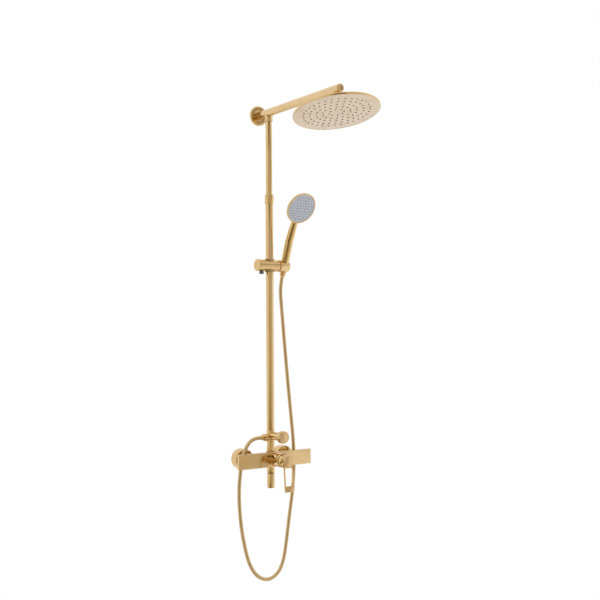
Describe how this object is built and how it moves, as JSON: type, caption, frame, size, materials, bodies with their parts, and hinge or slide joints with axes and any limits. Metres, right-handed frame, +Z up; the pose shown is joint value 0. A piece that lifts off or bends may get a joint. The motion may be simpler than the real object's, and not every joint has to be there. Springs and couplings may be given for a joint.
{
  "type": "rainfall shower column",
  "caption": "Wall-held shower column with a lever mixer, front plate, telescopic riser, overhead arm, round rain head, sliding holder, hand shower, hose, diverter and lower spout.",
  "frame": {"origin": "on the wall plane, midway between the two wall inlets", "axes": "+Z up, +Y into the wall, +X to the right when facing the wall"},
  "size_m": [0.268, 0.5425, 1.4886],
  "materials": {
    "gold": "polished, gold coloured PVD plating",
    "gold_tube": "satin polished, gold coloured plating",
    "raw_brass": "machined",
    "champagne": "pale champagne polished face",
    "gold_shell": "gold plated",
    "hand_face": "pale blue grey, glossy",
    "silicone": "soft, dark grey",
    "seal": "black EPDM",
    "dark_plastic": "dark grey, fine knurl",
    "white_plastic": "acetal",
    "steel": "plain stainless",
    "hose_metal": "gold metallic spiral over a plastic hose"
  },
  "bodies": {
    "wall_body": {"s_union_left": "raw_brass", "s_union_right": "raw_brass", "escutcheon_left": "gold", "escutcheon_right": "gold", "inlet_washers": "seal", "union_nut_left": "gold", "union_nut_right": "gold", "valve_body": "raw_brass", "plate_gasket": "seal", "front_plate": "gold", "cartridge_body": "white_plastic", "cartridge_seals": "seal", "cartridge_nut": "raw_brass", "cartridge_sleeve": "gold", "spout_neck": "raw_brass", "diverter_body": "gold", "hose_washer": "seal", "hose_nut": "gold", "hose_ferrule_lower": "gold", "lower_tube": "gold_tube", "tube_collar": "gold", "collar_bush": "white_plastic", "collar_screw": "steel", "shower_hose": "hose_metal"},
    "upper_column": {"upper_tube": "gold_tube", "arm": "gold_tube", "arm_end_cap": "gold", "wall_plate": "raw_brass", "wall_screws": "steel", "wall_flange": "gold", "ball_nipple": "raw_brass"},
    "swivel": {"swivel_ring": "white_plastic"},
    "rain_head": {"ball_seat": "white_plastic", "swivel_nut": "gold", "head_shell": "gold", "head_face": "champagne", "nozzle_mat": "silicone", "head_gasket": "seal"},
    "runner": {"slider_bush": "white_plastic"},
    "slider": {"slider_housing": "gold", "slider_end_cap": "gold", "brake_pad": "dark_plastic", "brake_spring": "steel", "holder_bolt": "steel"},
    "lock": {"lock_screw": "dark_plastic"},
    "holder": {"holder": "gold"},
    "hand_shower": {"handset_body": "gold_shell", "handset_face": "hand_face", "handset_nozzles": "silicone", "handset_washer": "seal", "hose_cone_nut": "gold"},
    "turret": {"cartridge_turret": "steel", "fulcrum_pin": "steel"},
    "lever": {"handle_dome": "gold", "lever_loop": "gold", "lever_screw": "steel"},
    "diverter": {"diverter_spindle": "steel", "diverter_knob": "gold"},
    "spout": {"spout_sleeve": "gold", "aerator": "white_plastic"}
  },
  "joints": [
    {"name": "column_height", "type": "slide", "parent": "wall_body", "child": "upper_column", "axis": [0, 0, 1], "range_m": [-0.15, 0.1]},
    {"name": "head_pitch", "type": "hinge", "parent": "upper_column", "child": "swivel", "pos_m": [0, -0.3998, 1.04], "axis": [-1, 0, 0], "range_deg": [-11.5, 8.5]},
    {"name": "head_roll", "type": "hinge", "parent": "swivel", "child": "rain_head", "pos_m": [0, -0.3998, 1.04], "axis": [0, 0.9799, -0.1994], "range_deg": [-10, 10]},
    {"name": "slider_height", "type": "slide", "parent": "wall_body", "child": "runner", "axis": [0, 0, 1], "range_m": [-0.3, 0.16], "deforming": ["shower_hose"]},
    {"name": "slider_turn", "type": "hinge", "parent": "runner", "child": "slider", "pos_m": [0, -0.0615, 0.6], "axis": [0, 0, 1], "range_deg": [-30, 30], "deforming": ["shower_hose"]},
    {"name": "lock_turn", "type": "hinge", "parent": "slider", "child": "lock", "pos_m": [-0.03, -0.0615, 0.58], "axis": [0, 0, 1], "range_deg": [-90, 90]},
    {"name": "holder_tilt", "type": "hinge", "parent": "slider", "child": "holder", "pos_m": [0.05, -0.0615, 0.6], "axis": [1, 0, 0], "range_deg": [-10, 30], "deforming": ["shower_hose"]},
    {"name": "handset_lift", "type": "slide", "parent": "holder", "child": "hand_shower", "axis": [0, -0.342, 0.9397], "range_m": [0, 0.06], "deforming": ["shower_hose"]},
    {"name": "temperature_turn", "type": "hinge", "parent": "wall_body", "child": "turret", "pos_m": [0, -0.126, 0], "axis": [0, -1, 0], "range_deg": [-45, 45]},
    {"name": "flow_lift", "type": "hinge", "parent": "turret", "child": "lever", "pos_m": [0, -0.126, 0], "axis": [-1, 0, 0], "range_deg": [0, 20]},
    {"name": "diverter_turn", "type": "hinge", "parent": "wall_body", "child": "diverter", "pos_m": [0, -0.1, 0.071], "axis": [0, -1, 0], "range_deg": [-90, 90]},
    {"name": "spout_pull", "type": "slide", "parent": "wall_body", "child": "spout", "axis": [0, 0, -1], "range_m": [0, 0.008], "stiffness_N_per_m": 800, "springref_m": -0.003}
  ]
}
